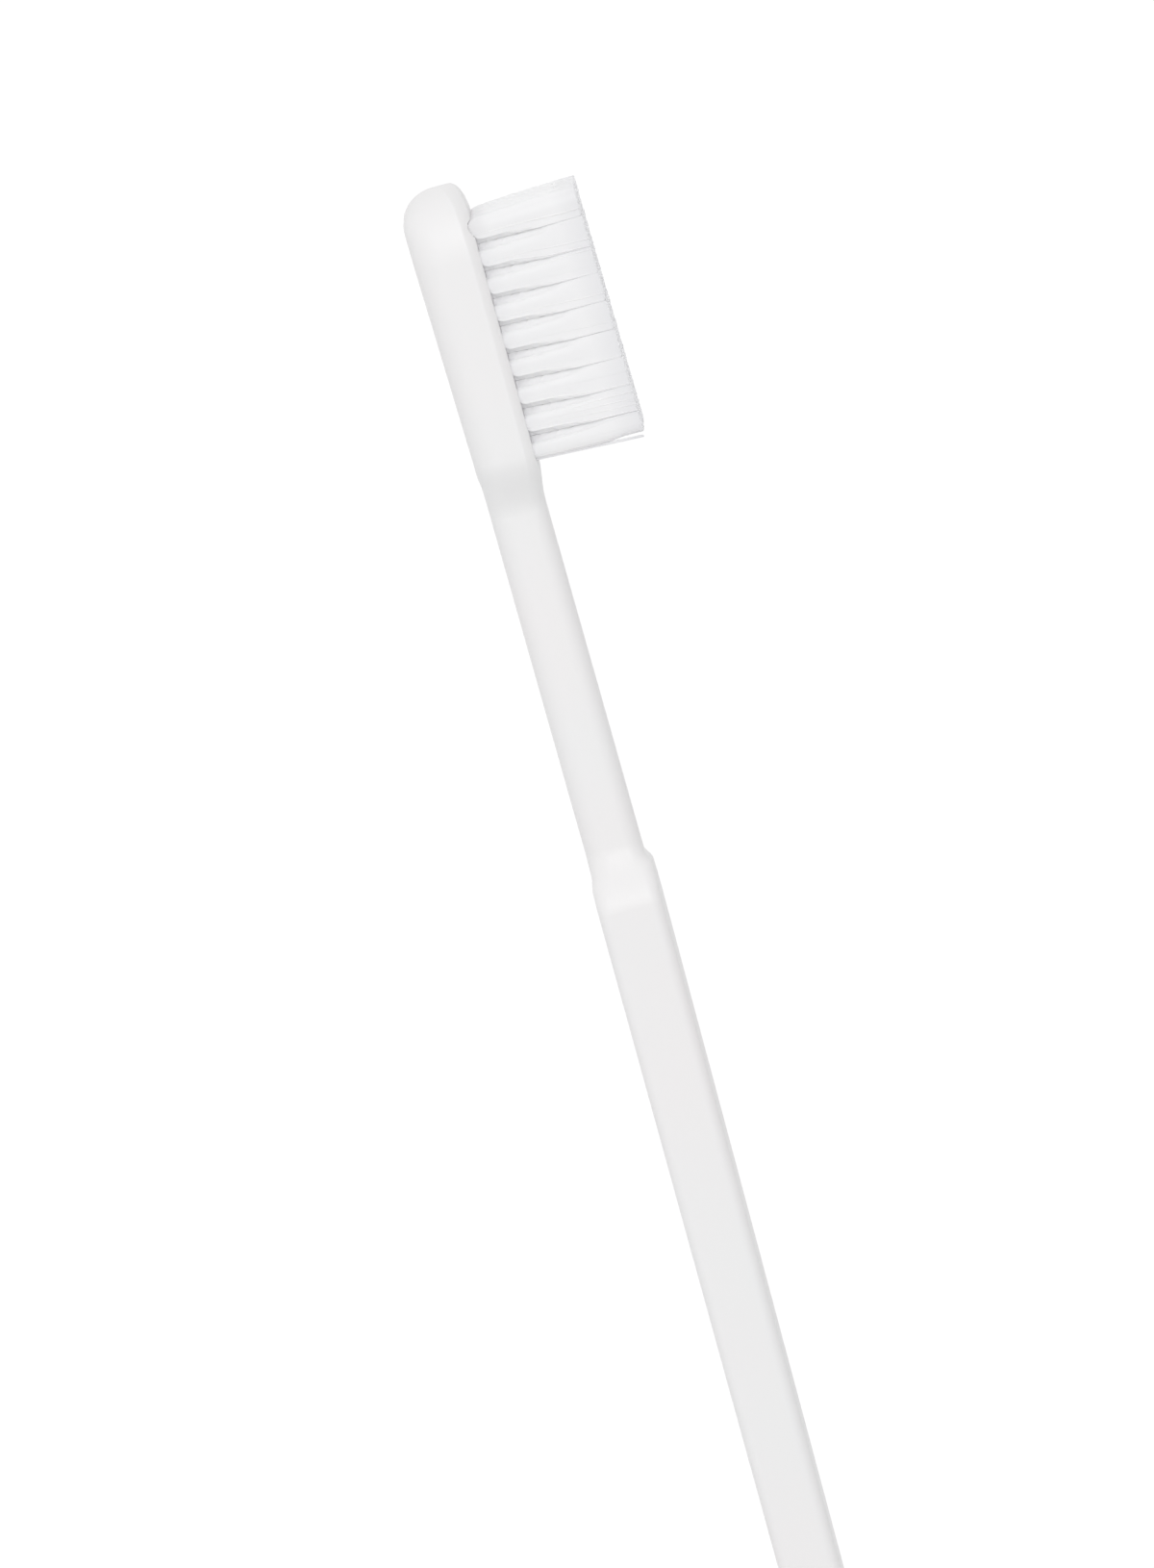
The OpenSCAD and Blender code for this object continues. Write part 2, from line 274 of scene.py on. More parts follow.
class BodyShape:
    """The heights, widths and edge radii of the body along the brush."""

    def __init__(self, sizes):
        self.sizes = sizes
        self.heel_start, self.heel_end = span(sizes.head_length, sizes.heel_length)
        self.shoulder_start, self.shoulder_end = span(sizes.shoulder_place, sizes.shoulder_length)
        self.handle_length = sizes.brush_length - self.shoulder_end
        self.origin_place = self.shoulder_end + self.handle_length / 2
        self.heel_rise = span(sizes.head_length - sizes.heel_back_lead, sizes.heel_back_length)
        self.heel_fall = span(sizes.head_length + sizes.heel_step_lag, sizes.heel_step_length)
        self.front_step = span(sizes.shoulder_place - sizes.face_step_lead, sizes.step_length)
        self.back_step = span(sizes.shoulder_place + sizes.back_step_lag, sizes.step_length)

    def half_width(self, place):
        sizes = self.sizes
        if place < self.heel_end:
            width = between(sizes.head_width, sizes.neck_width, ramp(place, self.heel_start, self.heel_end))
        elif place < self.shoulder_end:
            share = ramp(place, self.shoulder_start, self.shoulder_end)
            width = between(sizes.neck_width, sizes.handle_width, share)
        else:
            share = (place - self.shoulder_end) / self.handle_length
            width = between(sizes.handle_width, sizes.handle_end_width, share)
        tip = round_share(place, sizes.tip_length)
        end = round_share(sizes.brush_length - place, sizes.end_length)
        return width / 2 * tip * end

    def head_back(self, place):
        sizes = self.sizes
        share = limited((place - sizes.tip_back_length) / (self.heel_start - sizes.tip_back_length))
        return -between(sizes.tip_drop, sizes.heel_drop, share)

    def neck_back(self, place):
        share = limited((place - self.heel_end) / (self.shoulder_start - self.heel_end))
        return self.sizes.neck_rise * share

    def end_cut(self, place):
        sizes = self.sizes
        return sizes.end_edge_radius * (1 - round_share(sizes.brush_length - place, sizes.end_edge_radius))

    def back(self, place):
        sizes = self.sizes
        if place < self.heel_end:
            level = between(self.head_back(place), self.neck_back(place), ramp(place, *self.heel_rise))
        else:
            level = between(self.neck_back(place), 0, ramp(place, *self.back_step))
        tip = sizes.tip_back_height * (1 - round_share(place, sizes.tip_back_length))
        return level + tip + self.end_cut(place)

    def front(self, place):
        sizes = self.sizes
        neck = self.neck_back(place) + sizes.neck_thickness
        if place < self.heel_end:
            level = between(sizes.face_height, neck, ramp(place, *self.heel_fall))
        else:
            share = (place - self.shoulder_end) / self.handle_length
            handle = between(sizes.handle_thickness, sizes.handle_end_thickness, share)
            level = between(neck, handle, ramp(place, *self.front_step))
        tip = sizes.tip_face_height * (1 - round_share(place, sizes.tip_face_length))
        return level - tip - self.end_cut(place)

    def radius(self, place, head, neck):
        if place < self.heel_end:
            wanted = between(head, neck, ramp(place, self.heel_start, self.heel_end))
        else:
            share = ramp(place, self.shoulder_start, self.shoulder_end)
            wanted = between(neck, self.sizes.handle_edge_radius, share)
        half_height = (self.front(place) - self.back(place)) / 2
        return min(wanted, EDGE_LIMIT_SHARE * min(self.half_width(place), half_height))

    def stations(self):
        """Distances from the tip at which cross-sections are set."""
        sizes = self.sizes

        def rounded(size, steps):
            turns = [math.pi / 2 * max(step, FIRST_STEP) / steps for step in range(steps + 1)]
            return [size * (1 - math.cos(turn)) for turn in turns]

        stretches = (
            (sizes.tip_length, HEAD_STEPS),
            (self.heel_start, HEEL_STEPS),
            (self.heel_end, NECK_STEPS),
            (self.shoulder_start, SHOULDER_STEPS),
            (self.shoulder_end, HANDLE_STEPS),
            (sizes.brush_length - sizes.end_length, 0),
        )
        found = rounded(sizes.tip_length, TIP_STEPS)[:-1]
        for (start, steps), (end, _) in zip(stretches, stretches[1:]):
            found += [between(start, end, step / steps) for step in range(steps)]
        last = reversed(rounded(sizes.end_length, END_STEPS))
        return found + [sizes.brush_length - place for place in last]

    def section(self, place):
        """Points of one cross-section: four round corners, with guard points on the flats between them."""
        sizes = self.sizes
        half = self.half_width(place)
        back = self.radius(place, sizes.head_back_radius, sizes.neck_back_radius)
        tip_share = ramp(place, sizes.tip_bevel_start, sizes.tip_bevel_end)
        head_wide = between(sizes.tip_bevel_width, sizes.head_bevel, tip_share)
        head_high = between(sizes.tip_bevel_height, sizes.head_bevel, tip_share)
        wide = self.radius(place, head_wide, sizes.neck_face_radius)
        high = self.radius(place, head_high, sizes.neck_face_radius)
        power = between(BEVEL_POWER, 1, ramp(place, self.heel_start, self.heel_end))
        low = self.back(place) + back
        top = self.front(place) - high
        corners = (
            (half - wide, top, wide, high, power),
            (wide - half, top, wide, high, power),
            (back - half, low, back, back, 1),
            (half - back, low, back, back, 1),
        )
        rounds = []
        for quarter, (side, level, width, height, flatness) in enumerate(corners):
            arc = []
            for step in range(CORNER_STEPS + 1):
                angle = math.pi / 2 * (quarter + step / CORNER_STEPS)
                out, up = math.cos(angle), math.sin(angle)
                y = side + width * math.copysign(abs(out) ** flatness, out)
                z = level + height * math.copysign(abs(up) ** flatness, up)
                arc.append((y, z))
            rounds.append(arc)
        points = []
        for arc, following in zip(rounds, rounds[1:] + rounds[:1]):
            points += arc
            start, stop = arc[-1], following[0]
            for share in (FLAT_GUARD_SHARE, 1 - FLAT_GUARD_SHARE):
                points.append((between(start[0], stop[0], share), between(start[1], stop[1], share)))
        x = limited(place - self.origin_place, BODY_LOW.x, BODY_HIGH.x)
        return [(x, y, limited(z, BODY_LOW.z, BODY_HIGH.z)) for y, z in points]


def new_object(name, mesh):
    made = bpy.data.objects.new(name, mesh)
    bpy.context.scene.collection.objects.link(made)
    return made


def add_form(work, rings):
    """Adds a closed form through rings of equally many points."""
    rows = [[work.verts.new(point) for point in ring] for ring in rings]
    count = len(rings[0])
    for here, there in zip(rows, rows[1:]):
        for index in range(count):
            beside = (index + 1) % count
            work.faces.new((here[index], here[beside], there[beside], there[index]))
    work.faces.new(list(reversed(rows[0])))
    work.faces.new(rows[-1])


def finished(work, name):
    """An object from the work mesh, which is then freed."""
    mesh = bpy.data.meshes.new(name)
    work.to_mesh(mesh)
    work.free()
    return new_object(name, mesh)


def cut(body, cutter):
    """Cuts one mesh out of another and removes the cutter."""
    modifier = body.modifiers.new("cut", "BOOLEAN")
    modifier.operation = "DIFFERENCE"
    modifier.solver = "EXACT"
    modifier.object = cutter
    bpy.context.view_layer.update()
    shape = bpy.data.meshes.new_from_object(body.evaluated_get(bpy.context.evaluated_depsgraph_get()))
    body.modifiers.clear()
    old = body.data
    if len(shape.polygons) <= len(old.polygons):
        raise RuntimeError("The tuft holes couldn't be cut into the body")
    body.data = shape
    bpy.data.meshes.remove(old)
    bpy.data.meshes.remove(cutter.data)


def tuft_places(settings):
    """The place of each tuft: its row and column, the middle of its hole and the length of its bristles."""
    shape = BodyShape(settings.body)
    bristles = settings.bristles
    found = []
    for row in range(ROWS):
        for column in range(len(COLUMNS)):
            x = bristles.first_row + row * bristles.row_pitch - shape.origin_place
            y = (column - (len(COLUMNS) - 1) / 2) * bristles.column_pitch
            reach = between(bristles.first_length, bristles.last_length, row / (ROWS - 1))
            found.append((row, column, x, y, reach))
    return found


HOLE_SIDES = 40
# Overrun of the cutter above the bristle face
CUT_OVERRUN = 0.5 * MM


def hole_cutter(settings):
    """One mesh with a chamfered cutter for each tuft hole."""
    sizes = settings.body
    radius = sizes.hole_diameter / 2
    floor = sizes.face_height - sizes.hole_depth
    profile = (
        (radius, floor),
        (radius, sizes.face_height - sizes.hole_chamfer),
        (radius + sizes.hole_chamfer, sizes.face_height),
        (radius + sizes.hole_chamfer, sizes.face_height + CUT_OVERRUN),
    )
    ways = circle(HOLE_SIDES)
    work = bmesh.new()
    for _, _, x, y, _ in tuft_places(settings):
        rings = [[(x + out * along, y + out * across, z) for along, across in ways] for out, z in profile]
        add_form(work, rings)
    return finished(work, "hole_cutter")


# Materials


class Recipe:
    """Builds the nodes of one material or of the world."""

    def __init__(self, owner, output="ShaderNodeOutputMaterial"):
        owner.use_nodes = True
        self.owner = owner
        self.nodes = owner.node_tree.nodes
        self.links = owner.node_tree.links
        self.nodes.clear()
        self.output = self.add(output)

    def add(self, kind, inputs=None, **values):
        """Adds a node, with its inputs by name or number and its other values."""
        node = self.nodes.new(kind)
        for key, value in values.items():
            setattr(node, key, value)
        for key, value in (inputs or {}).items():
            self.feed(node.inputs[key], value)
        return node

    def feed(self, socket, value):
        """Joins another socket to an input, or gives it a plain value."""
        if isinstance(value, bpy.types.NodeSocket):
            self.links.new(value, socket)
        else:
            socket.default_value = value

    def noise(self, scale, detail, stretch=(1, 1, 1)):
        """A noise over the object's own coordinates. The scale is in repeats a metre."""
        place = self.add("ShaderNodeTexCoord").outputs["Object"]
        mapping = self.add("ShaderNodeMapping", {"Vector": place, "Scale": stretch})
        values = {"Vector": mapping.outputs["Vector"], "Scale": scale, "Detail": detail}
        return self.add("ShaderNodeTexNoise", values).outputs["Fac"]

    def spread(self, source, low, high, start=0.35, end=0.65):
        """Maps a range, which is the middle of a noise if it isn't given, to another."""
        values = {"Value": source, "From Min": start, "From Max": end, "To Min": low, "To Max": high}
        return self.add("ShaderNodeMapRange", values).outputs["Result"]

    def combine(self, operation, first, second):
        """The result of a sum with two sockets."""
        return self.add("ShaderNodeMath", {0: first, 1: second}, operation=operation).outputs["Value"]

    def blend(self, share, first, second):
        """Mixes two colours, each a colour or a socket."""
        node = self.add("ShaderNodeMix", {"Factor": share}, data_type="RGBA")
        colours = [socket for socket in node.inputs if socket.type == "RGBA"]
        for value, socket in zip((first, second), colours):
            self.feed(socket, value if isinstance(value, bpy.types.NodeSocket) else (*value, 1))
        return [socket for socket in node.outputs if socket.type == "RGBA"][0]

    def bump(self, height, strength, depth, before=None):
        """A bump, over another one if it is given."""
        node = self.add("ShaderNodeBump", {"Height": height, "Strength": strength, "Distance": depth})
        if before is not None:
            self.feed(node.inputs["Normal"], before)
        return node.outputs["Normal"]

    def shade(self, tone, roughness, surface, more=None):
        """Makes the material's shader from its tone, roughness and bumps, and returns the material."""
        values = {"Base Color": tone, "Roughness": roughness, "Normal": surface}
        made = self.add("ShaderNodeBsdfPrincipled", values | (more or {}))
        self.feed(self.output.inputs["Surface"], made.outputs["BSDF"])
        return self.owner


# Patterns of the plastic, its roughness, and the strength and depth of its bumps
PLASTIC_CLOUDS = {"scale": 55, "detail": 3}
PLASTIC_RUBBING = {"scale": 300, "detail": 4, "stretch": (0.12, 1, 1)}
PLASTIC_GRAIN = {"scale": 9000, "detail": 2}
PLASTIC_SWELL = {"scale": 160, "detail": 1}
PLASTIC_ROUGHNESS = (0.37, 0.47)
GRAIN_BUMP = (0.12, 0.01 * MM)
SWELL_BUMP = (0.1, 0.05 * MM)


def plastic_material(finish):
    """Satin white plastic: clouded tone, a fine moulded grain and faint rubbing along the brush."""
    recipe = Recipe(bpy.data.materials.new("satin_white_plastic"))
    clouds = recipe.spread(recipe.noise(**PLASTIC_CLOUDS), 0, 1)
    tone = recipe.blend(clouds, finish.plastic, finish.plastic_warm)
    roughness = recipe.spread(recipe.noise(**PLASTIC_RUBBING), *PLASTIC_ROUGHNESS)
    grain = recipe.bump(recipe.noise(**PLASTIC_GRAIN), *GRAIN_BUMP)
    return recipe.shade(tone, roughness, recipe.bump(recipe.noise(**PLASTIC_SWELL), *SWELL_BUMP, grain))


# Patterns of the nylon, the shares of the pale tone that its mottle leaves, its roughness and bumps
NYLON_MOTTLE = {"scale": 1400, "detail": 2, "stretch": (1, 1, 0.15)}
NYLON_LINES = {"scale": 7000, "detail": 1, "stretch": (1, 1, 0.05)}
NYLON_PALE_SHARES = (0.6, 1.0)
NYLON_ROUGHNESS = (0.3, 0.42)
NYLON_BUMP = (0.15, 0.005 * MM)
# Heights between which the filaments turn into the painted shade tone towards their tips, standing in for
# the light that the bundle loses at its top
TIP_SHADE_HEIGHTS = (12.5 * MM, 15.3 * MM)
# Heights between which the painted shade at their roots fades, and how much of it there is
ROOT_SHADE_HEIGHTS = (5.5 * MM, 6.9 * MM)
ROOT_SHADE_SHARE = 0.35
# Places along the frame and heights between which the painted shade on the first tuft's foot fades
FOOT_SHADE_PLACES = (-120.5 * MM, -119.6 * MM)
FOOT_SHADE_HEIGHTS = (5.5 * MM, 6.6 * MM)


def nylon_material(finish):
    """White nylon filament: each one has its own tone, with faint drawing lines and a satin shine, and
    painted shade darkens its tips, its roots and the first tuft's foot.
    """
    recipe = Recipe(bpy.data.materials.new("white_nylon_filament"))
    own_tone = recipe.add("ShaderNodeAttribute", attribute_name="filament_tone", attribute_type="GEOMETRY")
    place = recipe.add("ShaderNodeTexCoord").outputs["Object"]
    places = recipe.add("ShaderNodeSeparateXYZ", {"Vector": place}).outputs
    mottle = recipe.noise(**NYLON_MOTTLE)
    pale = recipe.combine("MULTIPLY", own_tone.outputs["Fac"], recipe.spread(mottle, *NYLON_PALE_SHARES))
    # Painted shade towards the tips, not wear: the top of the bundle is darkened in colour where it would
    # get less light
    worn = recipe.spread(places["Z"], 0, 1, *TIP_SHADE_HEIGHTS)
    # Painted shade low on the filaments, by their roots
    root_shade = recipe.spread(places["Z"], ROOT_SHADE_SHARE, 0, *ROOT_SHADE_HEIGHTS)
    # Painted shade on the foot of the first tuft, near the tip of the head
    in_first_row = recipe.spread(places["X"], 1, 0, *FOOT_SHADE_PLACES)
    foot = recipe.combine("MULTIPLY", in_first_row, recipe.spread(places["Z"], 1, 0, *FOOT_SHADE_HEIGHTS))
    tone = recipe.blend(pale, finish.nylon, finish.nylon_pale)
    tone = recipe.blend(worn, tone, finish.nylon_painted_shade)
    tone = recipe.blend(root_shade, tone, finish.nylon_painted_shade)
    tone = recipe.blend(foot, tone, finish.nylon_foot_shade)
    roughness = recipe.spread(mottle, *NYLON_ROUGHNESS)
    lines = recipe.bump(recipe.noise(**NYLON_LINES), *NYLON_BUMP)
    return recipe.shade(tone, roughness, lines, {"Diffuse Roughness": 1.0})


# Lines of the brass, the most of its dull tone, its roughness and bumps
BRASS_LINES = {"scale": 12000, "detail": 3, "stretch": (1, 1, 0.08)}
BRASS_DULL_SHARE = 0.6
BRASS_ROUGHNESS = (0.26, 0.42)
BRASS_BUMP = (0.2, 0.005 * MM)


def brass_material(finish):
    """Drawn brass wire, pressed flat: bright metal with dull lines along it."""
    recipe = Recipe(bpy.data.materials.new("drawn_brass"))
    lines = recipe.noise(**BRASS_LINES)
    tone = recipe.blend(recipe.spread(lines, 0, BRASS_DULL_SHARE), finish.brass, finish.brass_dull)
    roughness = recipe.spread(lines, *BRASS_ROUGHNESS)
    return recipe.shade(tone, roughness, recipe.bump(lines, *BRASS_BUMP), {"Metallic": 1.0})


def choose_seen(recipe, lighting, seen):
    """Shows one shader to the camera, reflections and clear materials, and lights things with the other."""
    path = recipe.add("ShaderNodeLightPath").outputs
    direct = recipe.combine("MAXIMUM", path["Is Camera Ray"], path["Is Glossy Ray"])
    direct = recipe.combine("MAXIMUM", direct, path["Is Transmission Ray"])
    chosen = recipe.add("ShaderNodeMixShader", {"Fac": direct, 1: lighting, 2: seen})
    recipe.feed(recipe.output.inputs["Surface"], chosen.outputs["Shader"])


# The floor's glow and its matt share: as the camera sees it, and as it lights the brush
FLOOR_SEEN = (0.9, 0.2)
FLOOR_LIGHT = (0.67, 0.12)


def lit_floor(recipe, glow, share):
    """An even glow with a share of matt white that takes the shadow."""
    even = recipe.add("ShaderNodeEmission", {"Strength": glow})
    matt = recipe.add("ShaderNodeBsdfDiffuse", {"Color": (share, share, share, 1)})
    both = recipe.add("ShaderNodeAddShader", {0: even.outputs["Emission"], 1: matt.outputs["BSDF"]})
    return both.outputs["Shader"]


def floor_material():
    """A pale floor that looks white, keeps a light shadow and lights the brush evenly from below."""
    recipe = Recipe(bpy.data.materials.new("pale_floor"))
    choose_seen(recipe, lit_floor(recipe, *FLOOR_LIGHT), lit_floor(recipe, *FLOOR_SEEN))
    return recipe.owner


# Operators

BODY_SHARP_ANGLE = math.radians(40)


class TOOTHBRUSH_OT_body(bpy.types.Operator):
    """Add the moulded body with its tuft holes."""

    bl_idname = "toothbrush.body"
    bl_label = "Add Body"
    bl_options = {"REGISTER", "UNDO"}

    def execute(self, context):
        settings = context.scene.toothbrush
        shape = BodyShape(settings.body)
        work = bmesh.new()
        add_form(work, [shape.section(place) for place in shape.stations()])
        bmesh.ops.recalc_face_normals(work, faces=work.faces)
        body = finished(work, "moulded_body")
        cut(body, hole_cutter(settings))
        mesh = body.data
        mesh.polygons.foreach_set("use_smooth", [True] * len(mesh.polygons))
        mesh.set_sharp_from_angle(angle=BODY_SHARP_ANGLE)
        mesh.materials.clear()
        mesh.materials.append(plastic_material(settings.finish))
        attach(body, "root")
        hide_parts("brush_body")
        return {"FINISHED"}


# Shape of the tufts

FILAMENT_SIDES = 5
# A direction in which no filament starts, to which its first corner is set square
FILAMENT_SIDE = (0.31, 0.95, 0.05)
# How far the lines between the rows lean towards the handle, in millimetres: each line of the near column,
# and the middle and spread of the others
LINE_LEANS = (-0.14, 0.23, 0.07, 0.11, 0.21, 0.26, 0.33, 0.18)
USUAL_LEAN = 0.28
LEAN_SPREAD = 0.12
# Gaps at the tips: before the first row, between the rows and behind the last row
LINE_GAPS = [gap * MM for gap in (0, 0.006, 0, 0, 0.004, 0.012, 0, 0, 0.004, 0)]
# Outer sides of the first and the last row at the tips, from the middle of their holes
FIRST_EDGE = -1.52 * MM
LAST_EDGE = 1.24 * MM
# How far the outer side of the last row bends back, and between which shares of its length
LAST_BEND = 0.27 * MM
LAST_BEND_SHARES = (0.58, 0.86)
# How fast a tuft widens above its hole, where 1 is evenly and less is early: towards its neighbours, on its
# open sides, and towards the tip in the first row
FLARE = 1.8
OPEN_FLARE = 0.62
TIP_FLARE = 0.36
# How square a tuft gets by its own spread, where 0 is round: on the open sides of the end rows, at the
# near corners towards the tip, and elsewhere
OPEN_CORNER = 0.0
SOFT_CORNER = 0.45
SHARP_CORNER = 0.9
# Height above the face at which it is that square
SQUARE_RISE = 0.35 * MM
# Room between a filament and the wall of its hole
ROOT_ROOM = 0.01 * MM
# Room that a tuft leaves towards the row before it, and the share of its length at which that ends
ROOT_SLACK = 0.26 * MM
SLACK_END = 0.8
# Share of the bristles' length over which the tufts close up to their neighbours
CLOSING = (0.48, 0.87)
# Height above the face at which a tuft's inner sides touch those of its neighbours
PACK_RISE = 0.018 * MM
# How far contact reaches round to the outer side, as the sine of a turn: at the face, at the most, and how
# fast it gets there. The pairs are for the sides towards the tip and towards the handle
CONTACT_STARTS = (0.1, -0.04)
CONTACT_REACH = 0.76
CONTACT_RISES = (0.33, 0.21)
# Width of the change between contact and none
CONTACT_EDGE = 0.08
# Height shares at which the free part of a filament has a ring
FREE_SHARES = (0.0, 0.03, 0.08, 0.18, 0.32, 0.48, 0.64, 0.8)
# Depth below the tip, in millimetres, and width share of the rings at a filament's rounded end
DOME = ((0.0, 0.0), (0.012, 0.5), (0.035, 0.85), (0.08, 1.0))
# Share of the trim's scatter that a filament shows, and how many are shorter still, by how many millimetres
TRIM_SHARE = 0.5
SHORT_CHANCE = 0.04
SHORT_DROPS = (0.1, 0.25)
# Golden section, by which the filaments turn round their tuft
GOLDEN_SHARE = 0.6180339887
# Height of an anchor plate above the floor of its hole
PLATE_SEAT = 0.55 * MM
# Rings in the fold under the plate, as shares of a half turn
FOLD_SHARES = (0.25, 0.5, 0.75)
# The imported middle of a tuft: how far it stays inside the filaments and its neighbours, its rings, and its
# width below the face
CORE_INSET = -0.05 * MM
CORE_EDGE = 0.003 * MM
CORE_SHARES = (-0.05, 0.0003, 0.002, 0.03, 0.06, 0.1, 0.15, 0.2, 0.27, 0.34, 0.42)
CORE_SHARES += (0.5, 0.58, 0.66, 0.74, 0.82, 0.94)
CORE_FOOT_WIDTH = 0.9
# Its last rings: how many millimetres they stay below the tips, and their width
CORE_END = ((0.22, 1.0), (0.12, 0.985), (0.07, 0.94), (0.06, 0.6))
# Its flutes, and its tone between plain and pale nylon
CORE_POINTS = 96
CORE_FLUTE = 0.02
CORE_TONE = 0.5
# The one filament that stands off the last tuft: its rings, the widths at its end, its place and thickness
STRAY_SHARES = (0.0, 0.2, 0.4, 0.6, 0.8, 0.982, 0.985)
STRAY_END = [0.0, 0.85]
STRAY_TIP = 1.3 * MM
STRAY_SIDE = -0.25 * MM
STRAY_THICKNESS = 1.8


def filament(path, radius, ends):
    """Rings of a round filament along a path, with the share of the radius at each point."""
    points = np.array(path)
    ways = np.gradient(points, axis=0)
    ways /= np.linalg.norm(ways, axis=1)[:, None]
    side = np.cross(ways[0], FILAMENT_SIDE)
    rings = []
    for point, way, share in zip(points, ways, ends):
        side = side - way * (side @ way)
        side /= np.linalg.norm(side)
        other = np.cross(way, side)
        for along, out in circle(FILAMENT_SIDES):
            rings.append(point + radius * share * (along * side + out * other))
    return rings


def square_up(u, v, power):
    """Pushes points of a disc towards the corners of a square."""
    reach = math.hypot(u, v)
    if reach < LEAST:
        return u, v
    stretch = (reach / max(abs(u), abs(v))) ** power
    return u * stretch, v * stretch


def tip_lines(settings, chance, near):
    """Where the tips of neighbouring rows meet, as distances from the middle of the first row."""
    pitch = settings.bristles.row_pitch
    lines = [FIRST_EDGE]
    for index, lean in enumerate(LINE_LEANS):
        moved = lean if near else USUAL_LEAN + chance.uniform(-LEAN_SPREAD, LEAN_SPREAD)
        lines.append((index + 0.5) * pitch + moved * MM)
    lines.append((ROWS - 1) * pitch + LAST_EDGE)
    return lines


class TuftShape:
    """Where the filaments of one tuft stand at each height."""

    def __init__(self, settings, place, lines):
        bristles = settings.bristles
        row, column, self.x, self.y, self.reach = place
        self.face = settings.body.face_height
        self.radius = bristles.filament_diameter / 2
        self.root = settings.body.hole_diameter / 2 - self.radius - ROOT_ROOM
        self.half_pitches = (bristles.row_pitch / 2, bristles.column_pitch / 2)
        start = row * bristles.row_pitch
        low = lines[row] - start + LINE_GAPS[row] / 2
        high = lines[row + 1] - start - LINE_GAPS[row + 1] / 2
        self.middle = (low + high) / 2
        self.half_tips = ((high - low) / 2, bristles.column_pitch / 2)
        self.open_rows = (row == 0, row == ROWS - 1)
        self.open_columns = (column == 0, column == len(COLUMNS) - 1)

    def halves(self, share, together, are_open, flares, margin, inset):
        """Half the tuft's width along and across the brush."""
        found = []
        for pitch, tip, is_open, flare in zip(self.half_pitches, self.half_tips, are_open, flares):
            free = between(self.root, tip - self.radius, share ** (flare if is_open else FLARE)) - inset
            packed = between(pitch, tip, share) - margin
            found.append(free if is_open else between(free, packed, together))
        return found

    def open_sides(self, u, v):
        """Whether a disc position is on an open side of the tuft, along and across the brush."""
        return self.open_rows[int(u > 0)], self.open_columns[int(v > 0)]

    def contact(self, u, v, share):
        """1 in the directions where a tuft touches its neighbours, and 0 towards the outside."""
        if all(self.open_sides(u, v)):
            return 0.0
        out = max(math.hypot(u, v), LEAST)
        side = int(u >= 0)
        start = between(-CONTACT_REACH, CONTACT_STARTS[side], math.exp(-share / CONTACT_RISES[side]))
        found = 1.0
        for part, sides in ((u, self.open_rows), (v, self.open_columns)):
            for inward, is_open in zip((part, -part), sides):
                if is_open:
                    found = min(found, ramp(inward / out, start - CONTACT_EDGE, start))
        return found

    def spot(self, u, v, height, margin=None, inset=0.0):
        """The point of a disc position at a share of the bristles' length."""
        share = limited(height)
        are_open = self.open_sides(u, v)
        together = self.contact(u, v, share) * ramp(height * self.reach, 0, PACK_RISE)
        if not are_open[0]:
            together = max(together, ramp(share, *CLOSING))
        if are_open[0]:
            corner = OPEN_CORNER
        elif u < 0 and v < 0:
            corner = SOFT_CORNER
        else:
            corner = SHARP_CORNER
        squareness = corner * ramp(height * self.reach, 0, SQUARE_RISE)
        wide, deep = square_up(u, v, between(squareness, 1, together))
        margin = self.radius if margin is None else margin
        flares = (TIP_FLARE if u < 0 else OPEN_FLARE, OPEN_FLARE)
        half_row, half_column = self.halves(share, together, are_open, flares, margin, inset)
        if u < 0 and not are_open[0]:
            half_row -= ROOT_SLACK * ramp(share, SLACK_END, 0) * (1 - together)
        if u > 0 and are_open[0]:
            half_row -= LAST_BEND * ramp(share, *LAST_BEND_SHARES)
        x = self.x + self.middle * share + wide * half_row
        y = self.y + deep * half_column
        return x, y, self.face + self.reach * height


